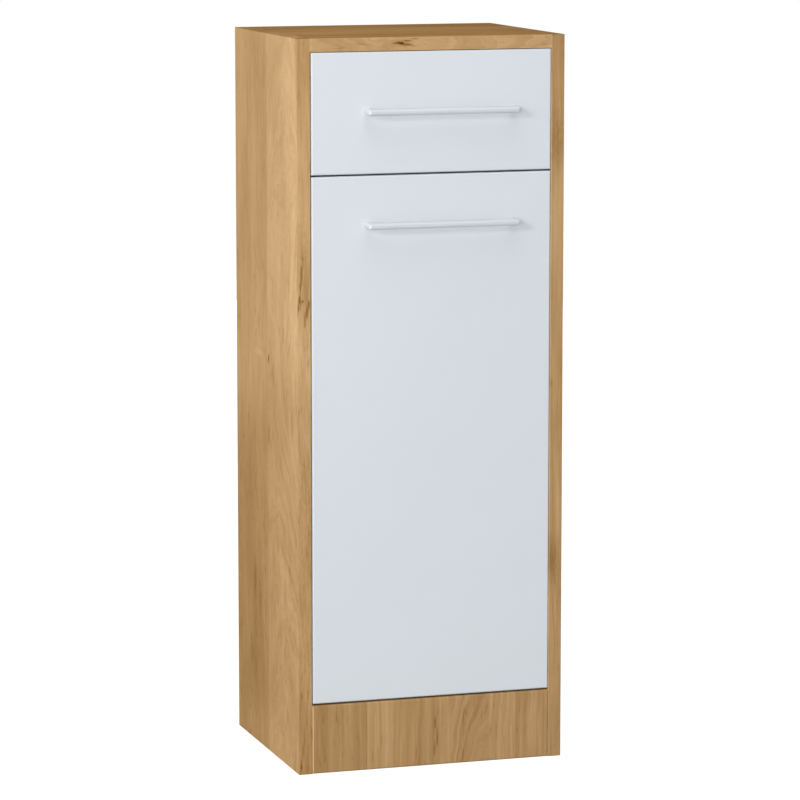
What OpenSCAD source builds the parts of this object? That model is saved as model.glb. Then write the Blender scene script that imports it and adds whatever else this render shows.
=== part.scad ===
// Low bathroom cabinet: an oak board body on a plinth, with one drawer above one hinged door.
// Millimetres. +X is right, +Y runs into the cabinet, +Z is up and the floor is z = 0.
// Lengths named *_u are measured from the inner face of a side panel towards the middle.

/* [Body] */
// Height over the side panels
body_h = 880; // [780:10:960]
// Width over both side panels
body_w = 332; // [316:4:420]
// Depth of the side panels
body_d = 275; // [260:5:330]
// Thickness of the body boards
board_t = 16; // [15:1:18]
// Height of the plinth board
plinth_h = 83.5; // [76:0.5:100]
// Thickness of the back panel
back_t = 3; // [2.5:0.5:4]
// Distance from the rear edges of the sides to the back panel
back_inset = 9; // [6:1:12]
// Depth of the grooves for the back panel
groove_depth = 6; // [4:1:8]
// Height of the bottom panel's top above the plinth
floor_rise = 10; // [8:1:12]
// Height of the adjustable shelf's underside
shelf_z = 396; // [340:4:440]
// Setback of the adjustable shelf behind the front plane
shelf_setback = 44; // [40:2:60]

/* [Fronts] */
// Height of the drawer front
drawer_front_h = 144; // [136:1:150]
// Thickness of the drawer front and the door
front_t = 16; // [16:1:18]
// Gap between the fronts and the left side panel, where the door turns
hinge_gap = 1.3; // [1.3:0.1:2.5]
// Gap between the fronts and the right side panel
free_gap = 0.6; // [0.5:0.1:2.5]
// Gap between the drawer front and the top panel
top_gap = 0.6; // [0.5:0.1:3]
// Gap under the drawer front and under the door
front_gap = 2; // [1.5:0.1:4]
// Radius on the edges of the fronts and the plinth
front_edge_r = 2; // [1.5:0.25:2.5]
// Thickness of the door bumpers
bumper_t = 2; // [1.5:0.25:2.5]

/* [Handles] */
// Length over the handle's legs
handle_l = 188; // [160:2:220]
// Distance from a front to the handle's outer face
handle_reach = 22; // [20:1:30]
// Height of the handle's bar
handle_bar_h = 7.5; // [7:0.5:12]
// Depth of the bar
handle_bar_d = 7; // [6:0.5:9]
// Width of each leg
handle_leg_w = 8; // [7:0.5:10]
// Radius of the handle's outer corners
handle_corner_r = 3; // [2:0.5:7]
// Radius along the bar's front edges
handle_edge_r = 3.25; // [1:0.25:3.25]
// Offset of the handles to the right of the middle
handle_offset_x = 10; // [0:0.5:20]
// Distance from the drawer front's top edge to its handle
drawer_handle_drop = 70.4; // [50:0.2:90]
// Distance from the door's top edge to its handle
door_handle_drop = 58.4; // [50:0.2:90]

/* [Drawer box] */
// Thickness of the drawer sides and back
drawer_wall_t = 12; // [11:0.5:13]
// Height of the drawer sides
drawer_side_h = 100; // [80:2:104]
// Length of the drawer sides
drawer_l = 230; // [216:2:232]
// Thickness of the drawer bottom
drawer_bottom_t = 3; // [2.5:0.5:4]
// Height of the drawer bottom above the lower edge of the sides
drawer_bottom_rise = 10; // [8:1:12]
// Depth of the grooves for the drawer bottom
drawer_groove_d = 5; // [4:0.5:6]

/* [Runners] */
// Room for a runner between the body and the drawer box
runner_room_u = 12.5; // [12.5:0.1:13]
// Thickness of the runner sheet
runner_sheet_t = 1.2; // [1:0.1:1.4]
// Radius of the rollers
roller_r = 8.5; // [8:0.25:9]
// Width of the rollers
roller_w = 6; // [5:0.25:6]
// Radius of the roller axles
roller_axle_r = 2; // [1.75:0.05:2.25]
// Distance from the front plane to the body rollers
front_roller_y = 30; // [29:1:34]
// Height of the runners' track above the divider
runner_rise = 12; // [10:1:14]

/* [Hinges] */
// Height of the hinges from the door's ends
hinge_end_distance = 100; // [80:5:110]
// Radius of the hinge cup
cup_r = 17.5; // [17.5:0.25:18]
// Distance from the door's edge to the cup
cup_edge_distance = 4.5; // [4:0.25:5]
// Depth of the hinge cup
cup_depth = 12.5; // [12:0.25:12.5]
// Thickness of the cup wall
cup_wall_t = 0.8; // [0.7:0.05:1]
// Distance of the hinge pin from the side panel
pin_u = 19; // [18.5:0.25:19.5]
// Depth of the hinge pin below the door's back face
pin_depth = 8.2; // [8:0.05:8.3]
// Radius of the hinge pin
pin_r = 1.5; // [1.25:0.05:1.6]
// Thickness of the hinge arm's cheeks
cheek_t = 2; // [1.6:0.1:2.2]
// Half the space between the cheeks
cheek_in_z = 4.4; // [4:0.1:4.6]

/* [Fasteners] */
// Radius of the cam locks
cam_r = 7.4; // [7:0.05:7.4]
// Radius of the dowels
dowel_r = 3.95; // [3.5:0.05:3.95]
// Length of the dowels
dowel_l = 30; // [28:1:34]
// Radius of the wood screws
screw_r = 1.5; // [1.4:0.05:1.75]
// Radius of the wood screws' heads
screw_head_r = 3; // [2.8:0.1:3.4]
// Radius of the handle screws
handle_screw_r = 2; // [1.75:0.05:2.25]
// Radial room around fixed round pieces
fit = 0.05; // [0.04:0.01:0.08]

/* [Hidden] */
$fn = 64;
front_y = (handle_reach - body_d) / 2;
rear_y = front_y + body_d;
inner_w = body_w - 2 * board_t;
inner_x = inner_w / 2;
top_z = body_h - board_t;
front_w = inner_w - hinge_gap - free_gap;
front_x = (hinge_gap - free_gap) / 2;
drawer_front_z = top_z - top_gap - drawer_front_h;
door_top_z = drawer_front_z - front_gap;
door_z = plinth_h + front_gap;
door_h = door_top_z - door_z;
back_y = rear_y - back_inset - back_t;
inner_front_y = front_y + front_t + bumper_t;
bottom_top_z = plinth_h + floor_rise;
bottom_z = bottom_top_z - board_t;
divider_top_z = door_top_z - 2;
divider_z = divider_top_z - board_t;
back_clear = 0.5;

// fasteners
cam_bore_r = cam_r + 0.1;
cam_depth = 12.5;
cam_h = 12;
cam_from_end = 24;
cam_bolt_r = 2.5;
cam_bolt_in = 11;
cam_bolt_head_r = 3.4;
cam_bolt_head_l = 4;
end_bore_r = 4;
dowel_in_side = 10;
cam_y_front = front_y + 50;
cam_y_rear = rear_y - 55;
dowel_y_front = front_y + 84;
dowel_y_rear = rear_y - 89;
cam_ys = [cam_y_front, cam_y_rear];
dowel_ys = [dowel_y_front, dowel_y_rear];
plinth_dowel_zs = [24, 60];
head_t = 1.5;
screw_l = 14;

// shelf supports
pin_hole_r = 2.5;
pin_hole_depth = 9;
shelf_pin_l = 8;
shelf_pin_pad_t = 2;
shelf_pin_pad_w = 8;
shelf_pin_ys = [front_y + 70, rear_y - 53];
shelf_hole_pitch = 32;
shelf_hole_steps = [-2:1:2];
shelf_gap = 0.7;
pin_z = shelf_z - shelf_pin_pad_t - pin_hole_r;

// plinth brackets
bracket_w = 30;
bracket_leg = 26;
bracket_t = 1.5;
bracket_xs = [-90, 90];
bracket_hole_y = front_y + board_t + 16;
bracket_hole_z = bottom_z - 14;
bracket_screw_l = 10;
back_screw_xs = [-100, 0, 100];

// drawer box
box_x = inner_x - runner_room_u;
box_in_x = box_x - drawer_wall_t;
box_y = front_y + front_t;
box_rear_y = box_y + drawer_l;
track_z = divider_top_z + runner_rise;
track_top_z = track_z + runner_sheet_t;
roll_gap = 0.3;
rear_roller_z = track_top_z + roll_gap + roller_r;
run_flange_z = rear_roller_z + roller_r + 0.5;
front_roller_z = run_flange_z - roll_gap - roller_r;
run_flange_top_z = run_flange_z + runner_sheet_t;
guide_z = run_flange_top_z + 1.2;
runner_top_z = guide_z + runner_sheet_t;
box_z = track_top_z + 0.6 + runner_sheet_t;
box_top_z = box_z + drawer_side_h;
drawer_bottom_z = box_z + drawer_bottom_rise;
drawer_bottom_top_z = drawer_bottom_z + drawer_bottom_t;
track_u = 11;
guide_u = 9;
run_flange_u = 4.3;
drawer_web_u = runner_room_u - runner_sheet_t;
cabinet_roller_u = 2.2;
drawer_roller_u = drawer_web_u - 0.7 - roller_w;
axle_head_r = 3.2;
axle_head_t = 0.8;
roller_side_room = 0.4;
rear_roller_y = box_rear_y - 14;
runner_y = inner_front_y;
runner_end_y = box_rear_y;
runner_screw_ys = [front_y + 60, front_y + 140, front_y + 215];
drawer_cam_zs = [box_z + 32, box_z + 78];
drawer_cam_depth = 9.5;
drawer_cam_h = 9;
drawer_bolt_in = 11;
drawer_bolt_r = 2;
drawer_bolt_head_r = 2.8;
drawer_cam_bore_r = 3.1;
drawer_bottom_room = 0.3;
drawer_back_screw_in = 18;
drawer_runner_screw_l = 7.8;
back_screw_zs = [box_z + 32, box_z + 78];

// handles
handle_leg_c = handle_l / 2 - handle_leg_w / 2;
handle_screw_in = 12;
handle_screw_room = 0.25;
bow_inner_r = 1.5;
handle_screw_head_r = 4;
handle_screw_head_t = 2.4;
drawer_handle_z = drawer_front_z + drawer_front_h - drawer_handle_drop;
door_handle_z = door_top_z - door_handle_drop;
handle_xs = [handle_offset_x - handle_leg_c, handle_offset_x + handle_leg_c];

// hinges: u from the side panel, v from the front plane
hinge_zs = [door_z + hinge_end_distance, door_top_z - hinge_end_distance];
pin_v = front_t - pin_depth;
cup_u = hinge_gap + cup_edge_distance + cup_r;
cup_floor_v = front_t - cup_depth;
cheek_out_z = cheek_in_z + cheek_t;
lug_in_z = cheek_out_z + 0.5;
lug_out_z = lug_in_z + 2;
relief_gap = 0.5;
relief_u = pin_u + pin_depth + 3;
relief_v = pin_v + norm([pin_u - hinge_gap, pin_depth]) + relief_gap;
lug_half_u = 4;
lug_top_v = pin_v + 3.2;
knuckle_r = 3;
neck_w = 4.8;
neck_tip = [pin_u, pin_v];
neck_a = [pin_u + 13, pin_v + 0.8];
neck_b = [pin_u + 14, pin_v + 12];
neck_c = [pin_u + 12.5, pin_v + 24];
neck_d = [pin_u + 3, pin_v + 36];
arm_start_v = front_t + 26;
arm_end_v = front_t + 62;
arm_low_u = 7;
arm_top_u = pin_u + 5.4;
arm_web_t = 2;
plate_t = 2;
plate_block_u = 14;
plate_screw_v = front_t + 39;
plate_screw_dz = 16;
plate_half_z = 25;
plate_half_v = 9;
arm_screw_vs = [front_t + 34, front_t + 54];
arm_screw_r = 2.5;
arm_screw_head_r = 4;
arm_screw_head_t = 2;
cup_flange_r = 19.5;
cup_flange_t = 1;
cup_screw_du = 9.5;
cup_screw_dz = 22.5;
cup_ear_r = 5;
cup_screw_l = 10;
bumper_r = 3;
bumper_inset = 14;

oak = [0.75, 0.62, 0.44];
white = [0.86, 0.87, 0.88];
steel = [0.72, 0.73, 0.74];
zinc = [0.6, 0.61, 0.62];
plastic = [0.9, 0.9, 0.88];
birch = [0.82, 0.7, 0.5];
satin = [0.8, 0.81, 0.82];

// A block between two opposite corners.
module block(a, b) {
  translate(a) cube(b - a);
}

// A round bar from p along +X, +Y or +Z.
module bar_x(p, r, l) {
  translate(p) rotate([0, 90, 0]) cylinder(r = r, h = l);
}
module bar_y(p, r, l) {
  translate(p) rotate([-90, 0, 0]) cylinder(r = r, h = l);
}
module bar_z(p, r, l) {
  translate(p) cylinder(r = r, h = l);
}

// A piece drawn for the left side in u, and its mirror image for the right side.
module on_left() {
  translate([-inner_x, 0, 0]) children();
}
module on_right() {
  mirror([1, 0, 0]) on_left() children();
}
module on_both() {
  on_left() children();
  on_right() children();
}

// A section with two rounded corners on its -Y side.
module eased_section(half_w, depth, r) {
  translate([-half_w, r]) square([2 * half_w, depth - r]);
  translate([r - half_w, 0]) square([2 * (half_w - r), r + 1]);
  for (s = [-1, 1]) translate([s * (half_w - r), r]) circle(r = r);
}

// A board standing at x = 0 with its four front edges rounded.
module eased_board(w, h, t, r) {
  intersection() {
    linear_extrude(height = h) eased_section(w / 2, t, r);
    translate([-w / 2, 0, h / 2]) rotate([0, 90, 0]) linear_extrude(height = w)
      eased_section(h / 2, t, r);
  }
}

// Body boards.
module side_panel() {
  difference() {
    block([-board_t, front_y, 0], [0, rear_y, body_h]);
    block([-groove_depth, back_y, bottom_z], [1, back_y + back_t, top_z + groove_depth]);
    for (z = [bottom_z, divider_z, top_z]) {
      for (y = cam_ys) bar_x([-cam_bolt_in, y, z + board_t / 2], cam_bolt_r + fit, cam_bolt_in + 1);
      for (y = dowel_ys) bar_x([-dowel_in_side, y, z + board_t / 2], dowel_r + fit, dowel_in_side + 1);
    }
    for (z = plinth_dowel_zs)
      bar_x([-dowel_in_side, front_y + board_t / 2, z], dowel_r + fit, dowel_in_side + 1);
    for (y = shelf_pin_ys) for (i = shelf_hole_steps)
      bar_x([-pin_hole_depth, y, pin_z + i * shelf_hole_pitch], pin_hole_r, pin_hole_depth + 1);
    for (y = runner_screw_ys)
      bar_x([-screw_l, y, front_roller_z], screw_r + fit, screw_l + 1);
  }
}
module left_side_panel() {
  color(oak) difference() {
    on_left() side_panel();
    on_left() for (z = hinge_zs) for (s = [-1, 1])
      bar_x([-screw_l, front_y + plate_screw_v, z + s * plate_screw_dz], screw_r + fit, screw_l + 1);
  }
}
module right_side_panel() {
  color(oak) on_right() side_panel();
}

// The bores in both ends of a board between the sides, for the cams, their bolts and the dowels.
module end_bores(z) {
  for (s = [-1, 1]) {
    for (y = cam_ys) {
      bar_z([s * (inner_x - cam_from_end), y, z - 1], cam_bore_r, cam_depth + 1);
      translate([s * inner_x, y, z + board_t / 2]) rotate([0, -s * 90, 0])
        translate([0, 0, -1]) cylinder(r = end_bore_r, h = cam_from_end + 1);
    }
    for (y = dowel_ys) translate([s * inner_x, y, z + board_t / 2]) rotate([0, -s * 90, 0])
      translate([0, 0, -1]) cylinder(r = dowel_r + fit, h = dowel_l - dowel_in_side + 1);
  }
}
module cross_board(y0, y1, z) {
  difference() {
    block([-inner_x, y0, z], [inner_x, y1, z + board_t]);
    end_bores(z);
  }
}
module top_panel() {
  color(oak) difference() {
    cross_board(front_y, rear_y, top_z);
    block([-inner_x - 1, back_y, top_z - 1], [inner_x + 1, back_y + back_t, top_z + groove_depth]);
  }
}

// The corner that the door's hinge edge swings through.
module hinge_relief(z) {
  on_left() block([-1, front_y, z - 1], [relief_u, front_y + relief_v, z + board_t + 1]);
}
module divider_panel() {
  color(oak) difference() {
    cross_board(inner_front_y, back_y, divider_z);
    hinge_relief(divider_z);
  }
}
module bottom_panel() {
  color(oak) difference() {
    cross_board(inner_front_y, back_y, bottom_z);
    hinge_relief(bottom_z);
    for (x = bracket_xs) bar_z([x, bracket_hole_y, bottom_z - 1], screw_r + fit, bracket_screw_l + 1);
    for (x = back_screw_xs) bar_y([x, back_y - screw_l, bottom_z + board_t / 2], screw_r + fit, screw_l + 1);
  }
}
module adjustable_shelf() {
  color(oak) block([shelf_gap - inner_x, front_y + shelf_setback, shelf_z],
    [inner_x - shelf_gap, back_y - 2, shelf_z + board_t]);
}
module back_panel() {
  back_x = inner_x + groove_depth - back_clear;
  color([0.66, 0.56, 0.42]) difference() {
    block([-back_x, back_y, bottom_z], [back_x, back_y + back_t, top_z + groove_depth - back_clear]);
    for (x = back_screw_xs) bar_y([x, back_y - 1, bottom_z + board_t / 2], screw_r + fit, back_t + 2);
  }
}
module back_panel_screws() {
  color(zinc) for (x = back_screw_xs) {
    bar_y([x, back_y - screw_l, bottom_z + board_t / 2], screw_r, screw_l + back_t);
    bar_y([x, back_y + back_t, bottom_z + board_t / 2], screw_head_r, head_t);
  }
}

// Plinth.
module plinth_board() {
  color(oak) difference() {
    translate([0, front_y, 0]) eased_board(inner_w, plinth_h, board_t, front_edge_r);
    for (s = [-1, 1]) for (z = plinth_dowel_zs)
      translate([s * inner_x, front_y + board_t / 2, z]) rotate([0, -s * 90, 0])
        translate([0, 0, -1]) cylinder(r = dowel_r + fit, h = dowel_l - dowel_in_side + 1);
    for (x = bracket_xs)
      bar_y([x, front_y + board_t - bracket_screw_l, bracket_hole_z], screw_r + fit, bracket_screw_l + 1);
  }
}
module plinth_brackets() {
  y = front_y + board_t;
  color(steel) for (x = bracket_xs) difference() {
    union() {
      block([x - bracket_w / 2, y, bottom_z - bracket_leg], [x + bracket_w / 2, y + bracket_t, bottom_z]);
      block([x - bracket_w / 2, y, bottom_z - bracket_t], [x + bracket_w / 2, y + bracket_leg, bottom_z]);
    }
    bar_z([x, bracket_hole_y, bottom_z - 3], screw_r + fit, 4);
    bar_y([x, y - 1, bracket_hole_z], screw_r + fit, 4);
  }
}
module plinth_bracket_screws() {
  color(zinc) for (x = bracket_xs) {
    bar_z([x, bracket_hole_y, bottom_z - bracket_t], screw_r, bracket_screw_l + bracket_t);
    bar_z([x, bracket_hole_y, bottom_z - bracket_t - head_t], screw_head_r, head_t);
    bar_y([x, front_y + board_t - bracket_screw_l, bracket_hole_z], screw_r, bracket_screw_l + bracket_t);
    bar_y([x, front_y + board_t + bracket_t, bracket_hole_z], screw_head_r, head_t);
  }
}

// Cam fittings and dowels between the sides and the cross boards.
module cam(h, depth, bore_r) {
  difference() {
    cylinder(r = cam_r, h = h);
    translate([0, 0, depth]) rotate([0, 90, 0]) translate([0, 0, -4.5])
      cylinder(r = bore_r, h = cam_r + 5.5);
    for (a = [0, 90]) rotate([0, 0, a]) translate([-4, -0.6, -1]) cube([8, 1.2, 2.5]);
  }
}
module cam_locks() {
  color(zinc) for (z = [bottom_z, divider_z, top_z]) for (y = cam_ys) for (s = [0, 180])
    translate([0, y, z + cam_depth - cam_h]) rotate([0, 0, s])
      translate([inner_x - cam_from_end, 0, 0]) cam(cam_h, board_t / 2 - cam_depth + cam_h, end_bore_r);
}
module cam_bolts() {
  color(steel) on_both() for (z = [bottom_z, divider_z, top_z]) for (y = cam_ys) {
    bar_x([-cam_bolt_in, y, z + board_t / 2], cam_bolt_r, cam_bolt_in + cam_from_end);
    bar_x([cam_from_end - 1, y, z + board_t / 2], cam_bolt_head_r, cam_bolt_head_l);
  }
}
module panel_dowels() {
  color(birch) on_both() {
    for (z = [bottom_z, divider_z, top_z]) for (y = dowel_ys)
      bar_x([-dowel_in_side, y, z + board_t / 2], dowel_r, dowel_l);
    for (z = plinth_dowel_zs)
      bar_x([-dowel_in_side, front_y + board_t / 2, z], dowel_r, dowel_l);
  }
}
module shelf_pins() {
  color(steel) on_both() for (y = shelf_pin_ys) {
    bar_x([-pin_hole_depth, y, pin_z], pin_hole_r - fit, pin_hole_depth + shelf_pin_l);
    block([0, y - shelf_pin_pad_w / 2, pin_z], [shelf_pin_l, y + shelf_pin_pad_w / 2, shelf_z]);
  }
}

// Roller runners.
module body_runner() {
  difference() {
    union() {
      block([0, runner_y, track_z], [runner_sheet_t, runner_end_y, runner_top_z]);
      block([0, runner_y, track_z], [track_u, runner_end_y, track_top_z]);
      block([0, runner_y, guide_z], [guide_u, runner_end_y, runner_top_z]);
    }
    for (y = runner_screw_ys) bar_x([-1, y, front_roller_z], screw_r + fit, 4);
  }
}
module left_body_runner() {
  color(white) on_left() body_runner();
}
module right_body_runner() {
  color(white) on_right() body_runner();
}
module body_runner_screws() {
  color(zinc) on_both() for (y = runner_screw_ys) {
    bar_x([-screw_l, y, front_roller_z], screw_r, screw_l + runner_sheet_t);
    bar_x([runner_sheet_t, y, front_roller_z], screw_head_r, head_t);
  }
}
module roller() {
  difference() {
    rotate([0, 90, 0]) cylinder(r = roller_r, h = roller_w);
    translate([-1, 0, 0]) rotate([0, 90, 0]) cylinder(r = roller_axle_r + fit, h = roller_w + 2);
    translate([roller_w - 0.6, 0, 0]) rotate([0, 90, 0]) difference() {
      cylinder(r = roller_r - 1.5, h = 1);
      translate([0, 0, -1]) cylinder(r = roller_axle_r + 1.6, h = 3);
    }
  }
}
module body_roller() {
  translate([cabinet_roller_u, front_y + front_roller_y, front_roller_z]) roller();
}
module left_body_roller() {
  color(plastic) on_left() body_roller();
}
module right_body_roller() {
  color(plastic) on_right() body_roller();
}
module body_roller_axles() {
  end_u = cabinet_roller_u + roller_w + roller_side_room;
  color(steel) on_both() {
    bar_x([runner_sheet_t, front_y + front_roller_y, front_roller_z], roller_axle_r, end_u - runner_sheet_t);
    bar_x([end_u, front_y + front_roller_y, front_roller_z], axle_head_r, axle_head_t);
  }
}
module drawer_runner() {
  difference() {
    union() {
      block([drawer_web_u, box_y, box_z - runner_sheet_t], [runner_room_u, box_rear_y, run_flange_top_z]);
      block([drawer_web_u, box_y, box_z - runner_sheet_t],
        [runner_room_u + drawer_wall_t, box_rear_y, box_z]);
      block([run_flange_u, box_y, run_flange_z], [runner_room_u, box_rear_y, run_flange_top_z]);
    }
    for (y = runner_screw_ys)
      bar_z([runner_room_u + drawer_wall_t / 2, y, box_z - 3], screw_r + fit, 4);
  }
}
module left_drawer_runner() {
  color(white) on_left() drawer_runner();
}
module right_drawer_runner() {
  color(white) on_right() drawer_runner();
}
module drawer_runner_screws() {
  color(zinc) on_both() for (y = runner_screw_ys) {
    bar_z([runner_room_u + drawer_wall_t / 2, y, box_z - runner_sheet_t],
      screw_r, runner_sheet_t + drawer_runner_screw_l);
    bar_z([runner_room_u + drawer_wall_t / 2, y, box_z - runner_sheet_t - head_t], screw_head_r, head_t);
  }
}
module drawer_roller() {
  translate([drawer_roller_u + roller_w, rear_roller_y, rear_roller_z]) mirror([1, 0, 0]) roller();
}
module left_drawer_roller() {
  color(plastic) on_left() drawer_roller();
}
module right_drawer_roller() {
  color(plastic) on_right() drawer_roller();
}
module drawer_roller_axles() {
  head_u = drawer_roller_u - roller_side_room - axle_head_t;
  color(steel) on_both() {
    bar_x([head_u, rear_roller_y, rear_roller_z], axle_head_r, axle_head_t);
    bar_x([head_u, rear_roller_y, rear_roller_z], roller_axle_r, drawer_web_u - head_u);
  }
}

// Drawer.
module front_board(z, h) {
  translate([front_x, front_y, z]) eased_board(front_w, h, front_t, front_edge_r);
}
module handle_holes(z) {
  for (x = handle_xs) bar_y([x, front_y - 1, z], handle_screw_r + handle_screw_room, front_t + 2);
}
module drawer_front() {
  color(white) difference() {
    front_board(drawer_front_z, drawer_front_h);
    handle_holes(drawer_handle_z);
    block([-box_in_x - drawer_groove_d, box_y - drawer_groove_d, drawer_bottom_z],
      [box_in_x + drawer_groove_d, box_y + 1, drawer_bottom_top_z]);
    for (s = [-1, 1]) for (z = drawer_cam_zs)
      bar_y([s * (box_x - drawer_wall_t / 2), box_y - drawer_bolt_in, z],
        drawer_bolt_r + fit, drawer_bolt_in + 1);
  }
}
module drawer_side() {
  difference() {
    block([runner_room_u, box_y, box_z], [runner_room_u + drawer_wall_t, box_rear_y, box_top_z]);
    block([runner_room_u + drawer_wall_t - drawer_groove_d, box_y - 1, drawer_bottom_z],
      [runner_room_u + drawer_wall_t + 1, box_rear_y + 1, drawer_bottom_top_z]);
    for (z = drawer_cam_zs) {
      bar_x([runner_room_u + drawer_wall_t - drawer_cam_depth, box_y + cam_from_end, z],
        cam_bore_r, drawer_cam_depth + 1);
      bar_y([runner_room_u + drawer_wall_t / 2, box_y - 1, z], drawer_cam_bore_r, cam_from_end + 1);
    }
    for (z = back_screw_zs)
      bar_x([runner_room_u - 1, box_rear_y - drawer_wall_t / 2, z], screw_r + fit, drawer_wall_t + 2);
    for (y = runner_screw_ys)
      bar_z([runner_room_u + drawer_wall_t / 2, y, box_z - 1], screw_r + fit, drawer_runner_screw_l + 1);
  }
}
module left_drawer_side() {
  color(white) on_left() drawer_side();
}
module right_drawer_side() {
  color(white) on_right() drawer_side();
}
module drawer_back() {
  color(white) difference() {
    block([-box_in_x, box_rear_y - drawer_wall_t, drawer_bottom_top_z], [box_in_x, box_rear_y, box_top_z]);
    for (s = [-1, 1]) for (z = back_screw_zs)
      translate([s * box_in_x, box_rear_y - drawer_wall_t / 2, z]) rotate([0, -s * 90, 0])
        translate([0, 0, -1]) cylinder(r = screw_r + fit, h = drawer_back_screw_in + 1);
  }
}
module drawer_bottom() {
  in_groove = drawer_groove_d - drawer_bottom_room;
  color([0.8, 0.8, 0.8]) block([-box_in_x - in_groove, box_y - in_groove, drawer_bottom_z],
    [box_in_x + in_groove, box_rear_y, drawer_bottom_top_z]);
}
module drawer_cams() {
  color(zinc) on_both() for (z = drawer_cam_zs)
    translate([runner_room_u + drawer_wall_t - drawer_cam_depth + drawer_cam_h, box_y + cam_from_end, z])
      rotate([0, -90, 0]) rotate([0, 0, -90])
        cam(drawer_cam_h, drawer_cam_h - drawer_cam_depth + drawer_wall_t / 2, drawer_cam_bore_r);
}
module drawer_cam_bolts() {
  color(steel) on_both() for (z = drawer_cam_zs) {
    bar_y([runner_room_u + drawer_wall_t / 2, box_y - drawer_bolt_in, z],
      drawer_bolt_r, drawer_bolt_in + cam_from_end);
    bar_y([runner_room_u + drawer_wall_t / 2, box_y + cam_from_end - 1, z],
      drawer_bolt_head_r, cam_bolt_head_l);
  }
}
module drawer_back_screws() {
  color(zinc) on_both() for (z = back_screw_zs) {
    bar_x([runner_room_u, box_rear_y - drawer_wall_t / 2, z], screw_r, drawer_wall_t + drawer_back_screw_in);
    bar_x([runner_room_u - head_t, box_rear_y - drawer_wall_t / 2, z], screw_head_r, head_t);
  }
}

// Bow handles.
module bow_plan() {
  difference() {
    translate([0, -handle_reach]) eased_section(handle_l / 2, handle_reach, handle_corner_r);
    translate([0, handle_bar_d - handle_reach])
      eased_section(handle_l / 2 - handle_leg_w, handle_reach, bow_inner_r);
  }
}
// The bow seen from the front, with rounded ends.
module bow_face() {
  half_l = handle_l / 2 - handle_edge_r;
  half_h = handle_bar_h / 2 - handle_edge_r;
  square([2 * half_l, handle_bar_h], center = true);
  square([handle_l, 2 * half_h], center = true);
  for (sx = [-1, 1]) for (sz = [-1, 1]) translate([sx * half_l, sz * half_h]) circle(r = handle_edge_r);
}
module bow(z) {
  difference() {
    translate([handle_offset_x, front_y, z]) intersection() {
      translate([0, 0, -handle_bar_h / 2]) linear_extrude(height = handle_bar_h) bow_plan();
      translate([-handle_l / 2, -handle_reach, 0]) rotate([0, 90, 0]) linear_extrude(height = handle_l)
        eased_section(handle_bar_h / 2, handle_reach, handle_edge_r);
      rotate([90, 0, 0]) linear_extrude(height = handle_reach) bow_face();
    }
    for (x = handle_xs) bar_y([x, front_y - handle_screw_in, z], handle_screw_r + fit, handle_screw_in + 1);
  }
}
module handle_screws(z) {
  color(steel) for (x = handle_xs) {
    bar_y([x, front_y - handle_screw_in, z], handle_screw_r, handle_screw_in + front_t);
    bar_y([x, front_y + front_t, z], handle_screw_head_r, handle_screw_head_t);
  }
}
module drawer_handle() {
  color(satin) bow(drawer_handle_z);
}
module drawer_handle_screws() {
  handle_screws(drawer_handle_z);
}
module door_handle() {
  color(satin) bow(door_handle_z);
}
module door_handle_screws() {
  handle_screws(door_handle_z);
}

// Door.
module door_panel() {
  color(white) difference() {
    front_board(door_z, door_h);
    handle_holes(door_handle_z);
    on_left() for (z = hinge_zs) {
      bar_y([cup_u, front_y + cup_floor_v, z], cup_r + 0.1, cup_depth + 1);
      for (s = [-1, 1])
        bar_y([cup_u + cup_screw_du, front_y + front_t - cup_screw_l, z + s * cup_screw_dz],
          screw_r + fit, cup_screw_l + 1);
    }
  }
}
module door_bumpers() {
  x = front_x + front_w / 2 - bumper_inset;
  color([0.9, 0.9, 0.9]) for (z = [bottom_top_z - 4, divider_z + board_t / 2])
    bar_y([x, front_y + front_t, z], bumper_r, bumper_t);
}

// Concealed hinges, each drawn around its own height at z = 0.
module at_hinge(i) {
  translate([-inner_x, front_y, hinge_zs[i]]) children();
}
module hinge_cup() {
  difference() {
    union() {
      bar_y([cup_u, cup_floor_v, 0], cup_r, cup_depth);
      bar_y([cup_u, front_t, 0], cup_flange_r, cup_flange_t);
      for (s = [-1, 1]) {
        bar_y([cup_u + cup_screw_du, front_t, s * cup_screw_dz], cup_ear_r, cup_flange_t);
        block([cup_u + cup_screw_du - cup_ear_r, front_t, min(0, s * cup_screw_dz)],
          [cup_u + cup_screw_du + cup_ear_r, front_t + cup_flange_t, max(0, s * cup_screw_dz)]);
      }
    }
    difference() {
      bar_y([cup_u, cup_floor_v + cup_wall_t, 0], cup_r - cup_wall_t, cup_depth + 2);
      for (s = [-1, 1])
        block([pin_u - lug_half_u, cup_floor_v - 1, s * (lug_in_z + lug_out_z) / 2 - 1],
          [pin_u + lug_half_u, lug_top_v, s * (lug_in_z + lug_out_z) / 2 + 1]);
    }
    bar_z([pin_u, pin_v, -lug_out_z - 1], pin_r + fit, 2 * lug_out_z + 2);
    for (s = [-1, 1])
      bar_y([cup_u + cup_screw_du, front_t - 1, s * cup_screw_dz], screw_r + fit, 4);
  }
}
module lower_hinge_cup() {
  color(steel) at_hinge(0) hinge_cup();
}
module upper_hinge_cup() {
  color(steel) at_hinge(1) hinge_cup();
}
module hinge_cup_screws() {
  color(zinc) for (i = [0, 1]) for (s = [-1, 1]) at_hinge(i) {
    bar_y([cup_u + cup_screw_du, front_t - cup_screw_l, s * cup_screw_dz],
      screw_r, cup_screw_l + cup_flange_t);
    bar_y([cup_u + cup_screw_du, front_t + cup_flange_t, s * cup_screw_dz], screw_head_r, head_t);
  }
}
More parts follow.
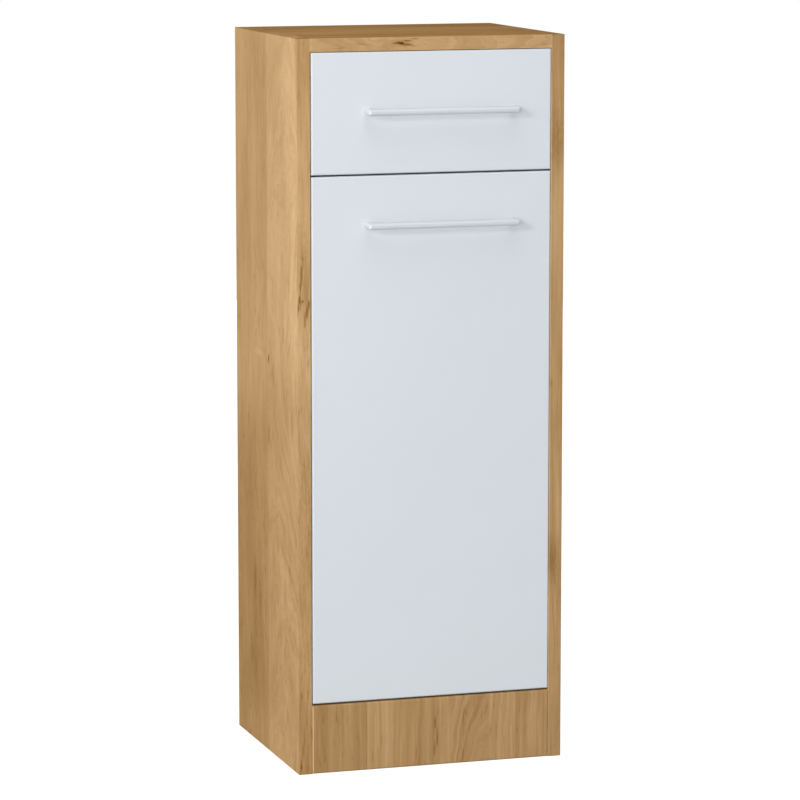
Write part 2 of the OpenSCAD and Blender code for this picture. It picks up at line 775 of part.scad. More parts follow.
module hinge_pins() {
  color(steel) for (i = [0, 1]) at_hinge(i) {
    bar_z([pin_u, pin_v, -lug_out_z], pin_r, 2 * lug_out_z);
    bar_z([pin_u, pin_v, lug_out_z], pin_r + 0.8, 0.8);
    bar_z([pin_u, pin_v, -lug_out_z - 0.8], pin_r + 0.8, 0.8);
  }
}

// A straight strip with round ends from point a to point b, in the plane of the hinge.
module strip(a, b, w) {
  d = b - a;
  translate(a) rotate(atan2(d[1], d[0])) translate([0, -w / 2]) square([norm(d), w]);
  translate(a) circle(d = w);
  translate(b) circle(d = w);
}
module neck(w) {
  strip(neck_a, neck_b, w);
  strip(neck_b, neck_c, w);
  strip(neck_c, neck_d, w);
}
module cheek_plan() {
  translate(neck_tip) circle(r = knuckle_r);
  strip(neck_tip, neck_a, neck_w);
  neck(neck_w);
  translate([arm_low_u, arm_start_v]) square([arm_top_u - arm_low_u, arm_end_v - arm_start_v]);
}
module hinge_arm() {
  difference() {
    union() {
      for (z = [-cheek_out_z, cheek_in_z]) translate([0, 0, z]) linear_extrude(height = cheek_t) cheek_plan();
      translate([0, 0, -cheek_in_z - 0.5]) linear_extrude(height = 2 * cheek_in_z + 1) {
        strip(neck_b, neck_c, 1.6);
        strip(neck_c, neck_d, 1.6);
        translate([arm_top_u - arm_web_t, arm_start_v]) square([arm_web_t, arm_end_v - arm_start_v]);
      }
    }
    bar_z([pin_u, pin_v, -cheek_out_z - 1], pin_r + fit, 2 * cheek_out_z + 2);
    for (v = arm_screw_vs) bar_x([arm_top_u - arm_web_t - 1, v, 0], arm_screw_r + fit, arm_web_t + 2);
  }
}
module lower_hinge_arm() {
  color(steel) at_hinge(0) hinge_arm();
}
module upper_hinge_arm() {
  color(steel) at_hinge(1) hinge_arm();
}
module hinge_arm_screws() {
  color(zinc) for (i = [0, 1]) for (v = arm_screw_vs) at_hinge(i) {
    bar_x([plate_t + 3, v, 0], arm_screw_r, arm_top_u - plate_t - 3);
    bar_x([arm_top_u, v, 0], arm_screw_head_r, arm_screw_head_t);
  }
}
module hinge_plate() {
  difference() {
    union() {
      block([0, plate_screw_v - plate_half_v, -plate_half_z],
        [plate_t, plate_screw_v + plate_half_v, plate_half_z]);
      block([0, arm_start_v, -cheek_in_z], [plate_block_u, arm_end_v, cheek_in_z]);
      block([0, arm_start_v, -cheek_out_z], [arm_low_u, arm_end_v, cheek_out_z]);
    }
    for (v = arm_screw_vs) bar_x([plate_t + 3, v, 0], arm_screw_r + fit, plate_block_u);
    for (s = [-1, 1]) bar_x([-1, plate_screw_v, s * plate_screw_dz], screw_r + fit, 4);
  }
}
module lower_hinge_plate() {
  color(steel) at_hinge(0) hinge_plate();
}
module upper_hinge_plate() {
  color(steel) at_hinge(1) hinge_plate();
}
module hinge_plate_screws() {
  color(zinc) for (i = [0, 1]) for (s = [-1, 1]) at_hinge(i) {
    bar_x([-screw_l, plate_screw_v, s * plate_screw_dz], screw_r, screw_l + plate_t);
    bar_x([plate_t, plate_screw_v, s * plate_screw_dz], screw_head_r, head_t);
  }
}

left_side_panel();
right_side_panel();
top_panel();
divider_panel();
bottom_panel();
adjustable_shelf();
back_panel();
back_panel_screws();
plinth_board();
plinth_brackets();
plinth_bracket_screws();
cam_locks();
cam_bolts();
panel_dowels();
shelf_pins();
left_body_runner();
right_body_runner();
body_runner_screws();
body_roller_axles();
left_body_roller();
right_body_roller();
drawer_front();
left_drawer_side();
right_drawer_side();
drawer_back();
drawer_bottom();
drawer_cams();
drawer_cam_bolts();
drawer_back_screws();
drawer_handle();
drawer_handle_screws();
left_drawer_runner();
right_drawer_runner();
drawer_runner_screws();
drawer_roller_axles();
left_drawer_roller();
right_drawer_roller();
door_panel();
door_handle();
door_handle_screws();
door_bumpers();
lower_hinge_cup();
upper_hinge_cup();
hinge_cup_screws();
hinge_pins();
lower_hinge_arm();
upper_hinge_arm();
hinge_arm_screws();
lower_hinge_plate();
upper_hinge_plate();
hinge_plate_screws();
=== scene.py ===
import math

import bpy
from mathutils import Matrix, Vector


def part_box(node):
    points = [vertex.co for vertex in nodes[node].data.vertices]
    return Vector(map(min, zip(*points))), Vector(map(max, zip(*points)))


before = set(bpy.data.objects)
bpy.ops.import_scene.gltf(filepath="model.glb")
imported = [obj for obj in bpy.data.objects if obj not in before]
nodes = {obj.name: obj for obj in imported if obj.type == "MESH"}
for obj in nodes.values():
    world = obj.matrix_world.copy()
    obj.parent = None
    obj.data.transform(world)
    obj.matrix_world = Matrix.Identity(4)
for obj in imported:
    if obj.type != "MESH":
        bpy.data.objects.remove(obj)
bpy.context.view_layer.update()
scene = bpy.context.scene

# Planes of the cabinet that the patterns are laid out from, in metres.
FRONT_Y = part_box("left_side_panel")[0][1]
SIDE_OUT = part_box("left_side_panel")[0][0]
RIGHT_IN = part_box("right_side_panel")[0][0]
TOP_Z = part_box("top_panel")[1][2]


def lin(r, g, b):
    """An sRGB colour in 0..255 as linear RGBA."""
    out = []
    for c in (r, g, b):
        c = c / 255.0
        out.append(c / 12.92 if c <= 0.04045 else ((c + 0.055) / 1.055) ** 2.4)
    return (*out, 1.0)


# Camera: long lens, from the left and slightly above, fitted to the edges in the photograph.
FRAME_PX = 800.0
FOCAL_PX = 3880.9
SENSOR_MM = 36.0
YAW, PITCH = math.radians(17.51), math.radians(8.457)
cam_data = bpy.data.cameras.new("view_camera")
cam_data.sensor_fit = "HORIZONTAL"
cam_data.sensor_width = SENSOR_MM
cam_data.lens = FOCAL_PX / FRAME_PX * SENSOR_MM
cam_data.clip_start = 0.1
cam_data.clip_end = 60.0
cam = bpy.data.objects.new("view_camera", cam_data)
cam.location = (-1.4150, FRONT_Y - 4.3597, 1.1285)
cam.rotation_euler = (math.pi / 2 - PITCH, 0.0, -YAW)
scene.collection.objects.link(cam)
scene.camera = cam

# Colour sockets of the Mix node, which has others for numbers and vectors.
MIX_A, MIX_B, MIX_RESULT = 6, 7, 2


class Tree:
    """The emptied node tree of a material or world, with short calls for the nodes used here."""

    def __init__(self, owner):
        owner.use_nodes = True
        self.tree = owner.node_tree
        self.tree.nodes.clear()

    def add(self, kind, **props):
        n = self.tree.nodes.new(kind)
        for k, v in props.items():
            setattr(n, k, v)
        return n

    def link(self, a, b):
        self.tree.links.new(a, b)

    def put(self, socket, value):
        if hasattr(value, "links"):
            self.link(value, socket)
        else:
            socket.default_value = value

    def math(self, op, a, b=0.0):
        n = self.add("ShaderNodeMath", operation=op)
        self.put(n.inputs[0], a)
        self.put(n.inputs[1], b)
        return n.outputs[0]

    def plus(self, a, b):
        return self.math("ADD", a, b)

    def minus(self, a, b):
        return self.math("SUBTRACT", a, b)

    def times(self, a, b):
        return self.math("MULTIPLY", a, b)

    def seen_by(self, *rays):
        """1 for the named kinds of ray, and 0 for all others."""
        path = self.add("ShaderNodeLightPath")
        total = path.outputs[rays[0]]
        for ray in rays[1:]:
            total = self.math("MAXIMUM", total, path.outputs[ray])
        return total

    def source(self, kind, strength):
        """A white background or emission shader."""
        n = self.add(kind)
        n.inputs[0].default_value = (1.0, 1.0, 1.0, 1.0)
        n.inputs[1].default_value = strength
        return n.outputs[0]

    def mix_shaders(self, fac, a, b, output):
        mix = self.add("ShaderNodeMixShader")
        for socket, value in zip(mix.inputs, (fac, a, b)):
            self.link(value, socket)
        self.link(mix.outputs[0], self.add(output).inputs["Surface"])


class Shade(Tree):
    """A material with one Principled shader."""

    def __init__(self, name):
        self.mat = bpy.data.materials.new(name)
        super().__init__(self.mat)
        out = self.add("ShaderNodeOutputMaterial")
        self.bsdf = self.add("ShaderNodeBsdfPrincipled")
        self.link(self.bsdf.outputs[0], out.inputs["Surface"])

    def coords(self):
        """The object coordinates, which are the row frame's metres."""
        tc = self.add("ShaderNodeTexCoord")
        sep = self.add("ShaderNodeSeparateXYZ")
        self.link(tc.outputs["Object"], sep.inputs[0])
        return sep.outputs[0], sep.outputs[1], sep.outputs[2]

    def vec(self, x, y, z):
        n = self.add("ShaderNodeCombineXYZ")
        for i, v in enumerate((x, y, z)):
            self.put(n.inputs[i], v)
        return n.outputs[0]

    def noise(self, vector, scale=1.0, detail=2.0, rough=0.5):
        n = self.add("ShaderNodeTexNoise")
        self.link(vector, n.inputs["Vector"])
        n.inputs["Scale"].default_value = scale
        n.inputs["Detail"].default_value = detail
        n.inputs["Roughness"].default_value = rough
        return n.outputs[0]

    def ramp(self, fac, stops):
        n = self.add("ShaderNodeValToRGB")
        self.put(n.inputs[0], fac)
        r = n.color_ramp
        while len(r.elements) < len(stops):
            r.elements.new(0.5)
        for e, (position, colour) in zip(r.elements, stops):
            e.position = position
            e.color = colour
        return n.outputs[0]

    def mix(self, fac, a, b):
        n = self.add("ShaderNodeMix", data_type="RGBA")
        self.put(n.inputs[0], fac)
        self.put(n.inputs[MIX_A], a)
        self.put(n.inputs[MIX_B], b)
        return n.outputs[MIX_RESULT]

    def span(self, value, lo, hi, to_lo=0.0, to_hi=1.0, smooth=False):
        """A value's range mapped to another, and held at its ends."""
        n = self.add("ShaderNodeMapRange", interpolation_type="SMOOTHSTEP" if smooth else "LINEAR")
        self.put(n.inputs[0], value)
        for i, v in enumerate((lo, hi, to_lo, to_hi)):
            self.put(n.inputs[i + 1], v)
        return n.outputs[0]

    def step(self, value, place, half, to_lo=0.0, to_hi=1.0):
        """A step from one number to another, over half a width on each side of a place."""
        return self.span(value, place - half, place + half, to_lo, to_hi)

    def centred(self, noise, amount):
        """A noise of 0..1 as a swing about zero."""
        return self.times(self.minus(noise, 0.5), amount)

    def weigh(self, x, y, z, weights):
        """A weighted sum of the coordinates plus an offset."""
        total = float(weights[3])
        for c, k in zip((x, y, z), weights):
            if k:
                total = self.plus(self.times(c, float(k)), total)
        return total

    def bump(self, height, strength, distance):
        n = self.add("ShaderNodeBump")
        n.inputs["Strength"].default_value = strength
        n.inputs["Distance"].default_value = distance
        self.link(height, n.inputs["Height"])
        self.link(n.outputs[0], self.bsdf.inputs["Normal"])


# Oak decor. Its tones are counted in levels, which are red values of 0..255.
LOW, HIGH = 80.0, 245.0
STOPS = (80, 105, 130, 155, 180, 205, 225, 245)
GREEN_BELOW_RED, BLUE_BELOW_RED = 36, 81

# Noise layers: seed shift, frequency across and along the grain, detail, roughness.
SWAY = (0.0, 9.0, 3.2, 3.0, 0.5)
RAGGED = (2.0, 420.0, 130.0, 3.0, 0.5)
CLOUD = (3.1, 20.0, 6.0, 3.0, 0.5)
WAVE = (4.0, 30.0, 16.0, 3.0, 0.5)
BROAD = (5.3, 85.0, 2.4, 3.0, 0.55)
FINE = (6.1, 190.0, 8.0, 3.0, 0.55)
LINES = (7.7, 400.0, 9.0, 4.0, 0.6)
HAIRS = (9.2, 1300.0, 34.0, 2.0, 0.5)
PORES = (11.9, 900.0, 40.0, 1.0, 0.5)
TICKS = (13.1, 300.0, 38.0, 2.0, 0.5)
DASHES = (17.3, 125.0, 46.0, 2.0, 0.6)
CLUSTERS = (18.1, 26.0, 9.0, 2.0, 0.5)

# The part of a noise over which pores, ticks, dashes and their clusters come in.
PORE_RANGE, TICK_RANGE = (0.62, 0.76), (0.60, 0.78)
DASH_RANGE, CLUSTER_RANGE = (0.53, 0.68), (0.40, 0.60)
TICKS_IN_DARK_CLOUDS = (0.58, 0.44)

# How far the noises sway the lines, in metres, or swing or darken the tone, in levels.
SWAY_WIDTH, WAVE_WIDTH = 0.024, 0.032
FIGURE_SWING, HAIR_SWING = 34.0, 16.0
PORE_LEVEL, TICK_LEVEL = -8.0, -26.0
SMUDGE_ROUGH, KNOT_ROUGH = 0.9, 2.4

# Half widths of the lines between planks (figure, tone), around the arches and at the edge band, in metres.
FIGURE_SEAM, TONE_SEAM, ARCH_SEAM, BAND_SEAM = 0.0002, 0.0006, 0.0004, 0.0003


def oak_stops(tint):
    """Ramp stops of the decor over its red level; a larger tint is a deeper brown."""
    return [((v - LOW) / (HIGH - LOW), lin(v, max(v - GREEN_BELOW_RED * tint, 0), max(v - BLUE_BELOW_RED * tint, 0)))
            for v in STOPS]


def oak(name, grain, cross, level, seed, planks=(), flow=None, knots=(), smudges=(), fades=(), tint=1.0,
        band=None, chop=1.0, calm=None, flecks=None, painted_gap_light=None):
    """Oak-pattern laminate, built up in colour levels.

    grain, cross: (kx, ky, kz, offset) of the coordinate along and across the grain
    level, seed: the mean tone, and what sets the noises of this board apart
    planks: (start across, level shift) of each plank, in order; on the top and the plinth, shifts also carry painted
    shade and a painted highlight
    flow: (from, to, centre, swing, middle, period, curve, slope) of the arched figure of one plank, whose
        centre line swings along the grain
    knots: (across, along, radius, depth)
    smudges: (across, along, half width, half length, level shift)
    fades: (from, to, level shift) along the grain
    tint, band: depth of the brown, and (end across, tint) of an edge band
    chop: how much shorter the streaks are
    calm: (from, to, factor) across, where the figure grows fainter
    flecks: (from, to, depth) across, of short broad dashes
    painted_gap_light: (x, level shift) of painted light on the inner face, a strip next to the front edge that shows
    through the gap beside the fronts
    """
    s = Shade(name)
    x, y, z = s.coords()
    run = s.weigh(x, y, z, grain)
    u = s.weigh(x, y, z, cross)

    def layer(across, kind, chop=1.0):
        shift, across_scale, along_scale, detail, rough = kind
        along = s.times(run, along_scale * chop)
        return s.noise(s.vec(seed + shift, s.times(across, across_scale), along), 1.0, detail, rough)

    w = s.plus(u, s.centred(layer(u, SWAY), SWAY_WIDTH))
    ragged = s.minus(layer(u, RAGGED), 0.5)

    def off(place_u, place_run, half_u, half_run, rough=0.0):
        """Distance from a spot, 1 at its rim, with a ragged outline."""
        du = s.math("DIVIDE", s.minus(u, place_u), half_u)
        dr = s.math("DIVIDE", s.minus(run, place_run), half_run)
        d = s.math("SQRT", s.plus(s.times(du, du), s.times(dr, dr)))
        return s.plus(d, s.times(ragged, rough)) if rough else d

    # The lines bend around the knots, arch in one plank and start anew at each plank.
    for knot_u, knot_run, r, _ in knots:
        push = s.span(off(knot_u, knot_run, 5 * r, 16 * r), 0.0, 1.0, 0.8, 0.0, True)
        w = s.minus(w, s.times(s.minus(u, knot_u), push))
    rings = w
    if flow:
        start, end, centre, swing, middle, period, curve, slope = flow
        angle = s.times(s.minus(run, middle), 2 * math.pi / period)
        axis = s.plus(s.times(s.math("COSINE", angle), swing), centre)
        du = s.minus(w, axis)
        arch = s.plus(s.math("DIVIDE", s.times(du, du), 2 * curve), s.times(run, slope))
        arch = s.plus(arch, s.centred(layer(u, WAVE), WAVE_WIDTH))
        inside = s.times(s.step(u, start, ARCH_SEAM), s.step(u, end, -ARCH_SEAM))
        rings = s.plus(w, s.times(s.minus(arch, w), inside))
    for k, (edge, _) in enumerate(planks[1:]):
        rings = s.plus(rings, s.step(u, edge, FIGURE_SEAM, 0.0, 0.37 + 0.11 * k))

    # Figure: pores, bands, lines, hairs and ticks.
    line_noise = layer(rings, LINES, chop)
    pores = s.span(layer(u, PORES), *PORE_RANGE)
    ticks = s.span(layer(w, TICKS), *TICK_RANGE)
    cloud = layer(w, CLOUD)
    ticks = s.times(ticks, s.span(cloud, *TICKS_IN_DARK_CLOUDS))
    figure = s.times(pores, PORE_LEVEL)
    for part in (s.centred(layer(rings, BROAD, chop), FIGURE_SWING),
                 s.centred(layer(rings, FINE, chop), FIGURE_SWING),
                 s.centred(line_noise, FIGURE_SWING),
                 s.centred(layer(rings, HAIRS), HAIR_SWING),
                 s.times(ticks, TICK_LEVEL)):
        figure = s.plus(figure, part)
    if calm:
        figure = s.times(figure, s.span(u, calm[0], calm[1], 1.0, calm[2]))

    # Tone: clouds, planks, and what is listed one by one.
    tone = s.plus(s.plus(s.centred(cloud, FIGURE_SWING), figure), float(level))
    for (edge, shift), (_, before) in zip(planks[1:], planks[:-1]):
        tone = s.plus(tone, s.step(u, edge, TONE_SEAM, 0.0, shift - before))
    if planks:
        tone = s.plus(tone, float(planks[0][1]))
    if flecks:
        start, end, depth = flecks
        dash = s.span(layer(w, DASHES), *DASH_RANGE)
        dash = s.times(dash, s.span(layer(w, CLUSTERS), *CLUSTER_RANGE))
        zone = s.times(s.span(u, start, start + 0.002), s.span(u, end + 0.002, end))
        tone = s.plus(tone, s.times(s.times(dash, zone), -float(depth)))
    # Painted light: a strip of the inner face next to the front edge, seen through the gap beside the fronts, is
    # lightened.
    if painted_gap_light:
        at_face = s.span(x, painted_gap_light[0] + 0.0003, painted_gap_light[0] + 0.0001)
        at_front = s.span(y, FRONT_Y + 0.0022, FRONT_Y + 0.0018)
        tone = s.plus(tone, s.times(s.times(at_face, at_front), float(painted_gap_light[1])))
    for start, end, shift in fades:
        tone = s.plus(tone, s.span(run, start, end, 0.0, float(shift), True))
    for *spot, shift in smudges:
        tone = s.plus(tone, s.span(off(*spot, SMUDGE_ROUGH), 0.0, 1.0, float(shift), 0.0, True))
    for knot_u, knot_run, r, depth in knots:
        heart = off(knot_u, knot_run, r, 1.8 * r, KNOT_ROUGH)
        tone = s.minus(tone, s.span(heart, 0.1, 1.5, float(depth), 0.0, True))
    tone = s.span(tone, LOW, HIGH)

    colour = s.ramp(tone, oak_stops(tint))
    if band:
        colour = s.mix(s.step(u, band[0], BAND_SEAM), s.ramp(tone, oak_stops(band[1])), colour)
    s.link(colour, s.bsdf.inputs["Base Color"])
    s.link(s.span(line_noise, 0.2, 0.8, 0.56, 0.66), s.bsdf.inputs["Roughness"])
    s.bsdf.inputs["Specular IOR Level"].default_value = 0.0
    s.bump(s.plus(line_noise, s.times(pores, -0.6)), 0.16, 0.00012)
    return s.mat


def darker(colour, share):
    return tuple(c * (1.0 - share) for c in colour[:3]) + (1.0,)


def satin(name, colour, rough=(0.34, 0.42), metallic=0.0, ripple=0.02):
    """A smooth coated surface with a faint cloudiness and an orange-peel ripple."""
    s = Shade(name)
    v = s.vec(*s.coords())
    n = s.noise(v, 9.0, 3.0)
    s.link(s.mix(n, colour, darker(colour, 0.03)), s.bsdf.inputs["Base Color"])
    s.link(s.span(n, 0.2, 0.8, *rough), s.bsdf.inputs["Roughness"])
    s.bsdf.inputs["Metallic"].default_value = metallic
    s.bump(s.noise(v, 260.0, 2.0), ripple, 0.0002)
    return s.mat


def metal(name, colour, rough=(0.28, 0.40), stretch=(400.0, 400.0, 400.0)):
    """Plated steel with a faint grain, which is drawn out where its frequency is low."""
    s = Shade(name)
    n = s.noise(s.vec(*[s.times(c, k) for c, k in zip(s.coords(), stretch)]), detail=3.0)
    s.link(s.mix(n, colour, darker(colour, 0.14)), s.bsdf.inputs["Base Color"])
    s.link(s.span(n, 0.2, 0.8, *rough), s.bsdf.inputs["Roughness"])
    s.bsdf.inputs["Metallic"].default_value = 1.0
    s.bump(n, 0.05, 0.0002)
    return s.mat


def fibreboard(name, colour, dark):
    """Pressed fibre: short specks in every direction."""
    s = Shade(name)
    v = s.vec(*s.coords())
    specks = s.noise(v, 900.0, 3.0, 0.7)
    clouds = s.noise(v, 60.0, 3.0)
    t = s.plus(s.centred(specks, 0.5), clouds)
    s.link(s.mix(s.span(t, 0.0, 1.0), colour, dark), s.bsdf.inputs["Base Color"])
    s.bsdf.inputs["Roughness"].default_value = 0.72
    s.bsdf.inputs["Specular IOR Level"].default_value = 0.25
    s.bump(specks, 0.15, 0.0002)
    return s.mat


def dress(material, *names):
    for n in names:
        o = nodes[n]
        o.data.materials.clear()
        o.data.materials.append(material)


def on_edge(*spots):
    """Spots on a front edge, whose first number is how far they lie from the board's outer face."""
    return [(FRONT_Y - d, *rest) for d, *rest in spots]


def painted_top_shade(shift):
    """Painted shade on the upper end of a side panel, a sliver beside the top panel: the face turned up is darker,
    like the top.
    """
    return (TOP_Z - 0.0008, TOP_Z - 0.0002, shift)


# Coordinates along the grain, and across it. On the sides and the top the pattern runs on around the
# front edge, so that across is y on the face and FRONT_Y less the distance from the face on the edge.
ALONG_Z, ALONG_X = (0, 0, 1, 0), (1, 0, 0, 0)
ACROSS_LEFT, ACROSS_RIGHT = (-1, 1, 0, SIDE_OUT), (1, 1, 0, SIDE_OUT)
ACROSS_TOP, ACROSS_BOARD = (0, 1, 1, -TOP_Z), (0, 1, 1, 0)

side_areas = [
    (0.08, 0.16, 0.13, 0.28, -7), (FRONT_Y, 0.66, 0.13, 0.42, 12), (-0.012, 0.42, 0.11, 0.09, -10),
    (0.075, 0.50, 0.09, 0.16, 10), (FRONT_Y, 0.50, 0.060, 0.70, 8), (0.040, 0.81, 0.055, 0.10, -10),
    (-0.115, 0.44, 0.06, 0.07, -11), (0.0, 0.02, 0.30, 0.05, 9), (0.066, 0.205, 0.009, 0.035, -22),
    (0.048, 0.17, 0.014, 0.07, -10), (0.002, 0.395, 0.006, 0.016, -22), (0.045, 0.49, 0.030, 0.006, 8),
    (-0.02, 0.80, 0.03, 0.06, -6)]
side_crack = on_edge(
    (0.0065, 0.622, 0.0024, 0.020, -30), (0.0048, 0.603, 0.0022, 0.017, -42), (0.0036, 0.588, 0.0014, 0.011, -50),
    (0.0029, 0.574, 0.0015, 0.009, -66), (0.0058, 0.5712, 0.0030, 0.0022, -54), (0.0035, 0.568, 0.0050, 0.014, -24),
    (0.0008, 0.563, 0.0016, 0.012, -34), (0.0140, 0.567, 0.0024, 0.008, -56), (0.0118, 0.559, 0.0024, 0.010, -50),
    (0.0088, 0.549, 0.0024, 0.012, -40), (0.010, 0.575, 0.005, 0.030, -8))
side_edge = on_edge(
    (0.007, 0.85, 0.02, 0.12, -18), (0.008, 0.605, 0.02, 0.085, -24), (0.008, 0.69, 0.02, 0.08, -8),
    (0.0065, 0.045, 0.0022, 0.022, -18), (0.0045, 0.028, 0.0022, 0.016, -26), (0.0025, 0.012, 0.0022, 0.014, -34),
    (0.012, 0.22, 0.02, 0.22, 9))
dress(oak("oak_left_side", ALONG_Z, ACROSS_LEFT, 187, 1.3,
          planks=[(-1, 0), (FRONT_Y, 17), (0.006, 6)],
          flow=(FRONT_Y, 0.006, -0.030, 0.05, 0.46, 0.66, 0.085, 0.22),
          knots=[(0.001, 0.487, 0.0030, 52), *on_edge((0.0025, 0.009, 0.0018, 26))],
          smudges=side_areas + side_crack + side_edge,
          fades=[(0.45, 0.36, -12), painted_top_shade(-28)], tint=1.03,
          chop=2.0, calm=(FRONT_Y, FRONT_Y + 0.12, 0.55), flecks=(FRONT_Y, 0.2, 12)), "left_side_panel")
dress(oak("oak_right_side", ALONG_Z, ACROSS_RIGHT, 183, 21.0,
          planks=[(-1, -4), (FRONT_Y, 2), (-0.045, 7), (0.060, -5)],
          flow=(-0.045, 0.060, 0.008, 0.012, 0.55, 0.90, 0.035, 0.22),
          knots=[(0.030, 0.33, 0.0035, 44)],
          smudges=[*on_edge((0.006, 0.75, 0.016, 0.050, -20), (0.008, 0.64, 0.03, 0.09, 8),
                            (0.012, 0.245, 0.012, 0.045, -24), (0.008, 0.03, 0.03, 0.07, -8)),
                   (0.10, 0.60, 0.03, 0.16, 6), *on_edge((0.008, 0.86, 0.04, 0.15, -11))],
          fades=[painted_top_shade(-20)], painted_gap_light=(RIGHT_IN, 60)), "right_side_panel")
# The top face is painted darker than its front edge and the sides (plank shifts of -21 to -28) and a deeper brown
# (tint 1.07 against 1.0 on the edge band): painted shade on a face turned up, which takes less light.
dress(oak("oak_top", ALONG_X, ACROSS_TOP, 190, 37.0,
          planks=[(-1, -2), (FRONT_Y, -24), (-0.03, -21), (0.07, -28)],
          flow=(-1, FRONT_Y, FRONT_Y - 0.006, 0.006, 0.05, 0.21, 0.02, 0.22),
          knots=on_edge((0.0075, -0.037, 0.0016, 56)),
          smudges=[*on_edge((0.0068, -0.040, 0.0026, 0.011, -72), (0.0045, -0.031, 0.0018, 0.010, -54),
                            (0.0025, -0.022, 0.0015, 0.009, -38), (0.0090, -0.032, 0.0019, 0.011, -58),
                            (0.0105, -0.024, 0.0015, 0.008, -34), (0.007, -0.045, 0.010, 0.030, -17)),
                   (-0.02, 0.155, 0.20, 0.07, -5), (0.02, -0.09, 0.16, 0.09, 6)],
          tint=1.07, band=(FRONT_Y, 1.0)), "top_panel")
dress(oak("oak_divider", ALONG_X, ACROSS_BOARD, 186, 51.0, planks=[(-1, 0), (0.70, 4)]), "divider_panel")
dress(oak("oak_bottom", ALONG_X, ACROSS_BOARD, 186, 57.0, planks=[(-1, 3), (0.12, -3)]), "bottom_panel")
dress(oak("oak_shelf", ALONG_X, ACROSS_BOARD, 188, 63.0, planks=[(-1, 2), (0.36, -4), (0.45, 3)],
          flow=(0.36, 0.45, 0.40, 0.01, 0.0, 0.5, 0.03, 0.25)), "adjustable_shelf")
# The narrow plank from -0.1495 to -0.1478, 34 levels lighter, is a painted highlight: the plinth's left edge
# catching the light.
dress(oak("oak_plinth", ALONG_Z, ALONG_X, 176, 71.0,
          planks=[(-1, -16), (-0.1495, 34), (-0.1478, -3), (-0.113, -3), (-0.081, 11), (-0.048, 0), (-0.024, 0),
                  (0.0, -2), (0.009, 9), (0.025, 1), (0.074, 11), (0.107, 5), (0.131, 0)],
          flow=(0.025, 0.074, 0.078, 0.004, 0.02, 0.3, 0.03, 0.3),
          smudges=[(0.005, 0.052, 0.0022, 0.012, -30), (0.008, 0.034, 0.0020, 0.016, -34),
                   (0.004, 0.018, 0.0018, 0.014, -28), (0.041, 0.05, 0.003, 0.03, -14),
                   (-0.136, 0.03, 0.003, 0.05, -10)]), "plinth_board")

dress(satin("front_white", lin(215, 221, 226)), "drawer_front", "door_panel")
dress(satin("board_white", lin(224, 225, 225), rough=(0.5, 0.6), ripple=0.05),
      "left_drawer_side", "right_drawer_side", "drawer_back")
dress(satin("bottom_white", lin(220, 221, 220), rough=(0.55, 0.65)), "drawer_bottom")
dress(fibreboard("hardboard", lin(190, 161, 122), lin(158, 127, 90)), "back_panel")
dress(satin("handle_satin", lin(205, 210, 214), rough=(0.35, 0.42), metallic=0.08, ripple=0.01),
      "drawer_handle", "door_handle")
dress(satin("runner_paint", lin(228, 228, 225), rough=(0.3, 0.4), ripple=0.08),
      "left_body_runner", "right_body_runner", "left_drawer_runner", "right_drawer_runner")
dress(satin("roller_nylon", lin(226, 224, 214), rough=(0.38, 0.5)),
      "left_body_roller", "right_body_roller", "left_drawer_roller", "right_drawer_roller")
dress(satin("bumper_clear", lin(214, 217, 217), rough=(0.2, 0.3)), "door_bumpers")
dress(fibreboard("dowel_beech", lin(214, 184, 140), lin(190, 156, 110)), "panel_dowels")
dress(metal("hinge_nickel", lin(196, 196, 192), stretch=(900.0, 60.0, 900.0)),
      "lower_hinge_cup", "upper_hinge_cup", "lower_hinge_arm", "upper_hinge_arm",
      "lower_hinge_plate", "upper_hinge_plate")
dress(metal("zinc_plate", lin(188, 191, 194), rough=(0.32, 0.46)),
      "back_panel_screws", "plinth_brackets", "plinth_bracket_screws", "cam_locks", "cam_bolts",
      "shelf_pins", "body_runner_screws", "body_roller_axles", "hinge_arm_screws", "hinge_plate_screws",
      "drawer_cams", "drawer_cam_bolts", "drawer_back_screws", "drawer_handle_screws",
      "drawer_runner_screws", "drawer_roller_axles", "door_handle_screws", "hinge_cup_screws",
      "hinge_pins")

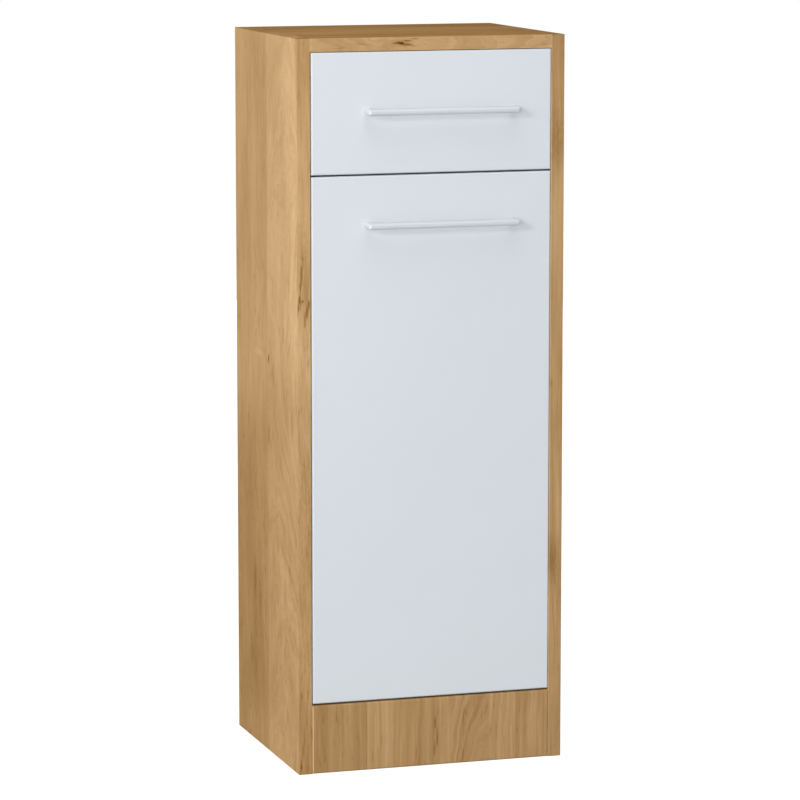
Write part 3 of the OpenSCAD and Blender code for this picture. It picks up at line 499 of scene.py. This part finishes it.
# Floor: white to the camera, with the object's soft shadow.
FLOOR_SIZE = 30.0
FLOOR_GREY = (0.5, 0.5, 0.5, 1.0)
FLOOR_GLOW, FLOOR_GLOW_SHARE = 1.47, 0.66
bpy.ops.mesh.primitive_plane_add(size=FLOOR_SIZE, location=(0, 0, 0))
floor = bpy.context.object
floor.name = "floor"
floor_white = bpy.data.materials.new("floor_white")
floor_tree = Tree(floor_white)
diffuse = floor_tree.add("ShaderNodeBsdfDiffuse")
diffuse.inputs[0].default_value = FLOOR_GREY
glow_share = floor_tree.times(floor_tree.seen_by("Is Camera Ray", "Is Glossy Ray"), FLOOR_GLOW_SHARE)
glow = floor_tree.source("ShaderNodeEmission", FLOOR_GLOW)
floor_tree.mix_shaders(glow_share, diffuse.outputs[0], glow, "ShaderNodeOutputMaterial")
floor.data.materials.append(floor_white)

# World: plain soft light, seen as white.
WORLD_LIGHT, WORLD_SEEN = 0.25, 1.0
world = bpy.data.worlds.new("studio")
scene.world = world
world_tree = Tree(world)
seen = world_tree.seen_by("Is Camera Ray", "Is Glossy Ray", "Is Transmission Ray")
soft_light = world_tree.source("ShaderNodeBackground", WORLD_LIGHT)
white = world_tree.source("ShaderNodeBackground", WORLD_SEEN)
world_tree.mix_shaders(seen, soft_light, white, "ShaderNodeOutputWorld")

# Lamps: name, place, target, width and height in metres, watts.
LAMPS = (
    ("front", (-1.88, -5.17, 1.16), (0.0, 0.0, 0.75), (3.0, 0.5), 109.0),
    ("side", (-4.90, -0.86, 1.30), (0.0, 0.0, 0.50), (2.5, 2.0), 72.0),
    ("accent", (-2.80, -2.80, 1.85), (0.0, -0.10, 0.70), (0.5, 0.5), 39.0),
    ("above", (-0.50, -0.90, 3.30), (0.0, 0.0, 0.88), (2.4, 2.4), 39.0),
    ("fill", (3.60, 1.80, 1.30), (0.0, 0.0, 0.50), (2.5, 2.0), 60.0),
    ("back", (1.60, 4.20, 0.45), (0.0, 0.0, 0.45), (2.5, 0.7), 90.0),
)
for name, place, target, (width, height), power in LAMPS:
    data = bpy.data.lights.new(name, "AREA")
    data.shape = "RECTANGLE"
    data.size, data.size_y = width, height
    data.energy = power
    lamp = bpy.data.objects.new(name, data)
    lamp.location = place
    lamp.rotation_euler = (Vector(target) - Vector(place)).to_track_quat("-Z", "Y").to_euler()
    scene.collection.objects.link(lamp)

scene.view_settings.view_transform = "Standard"
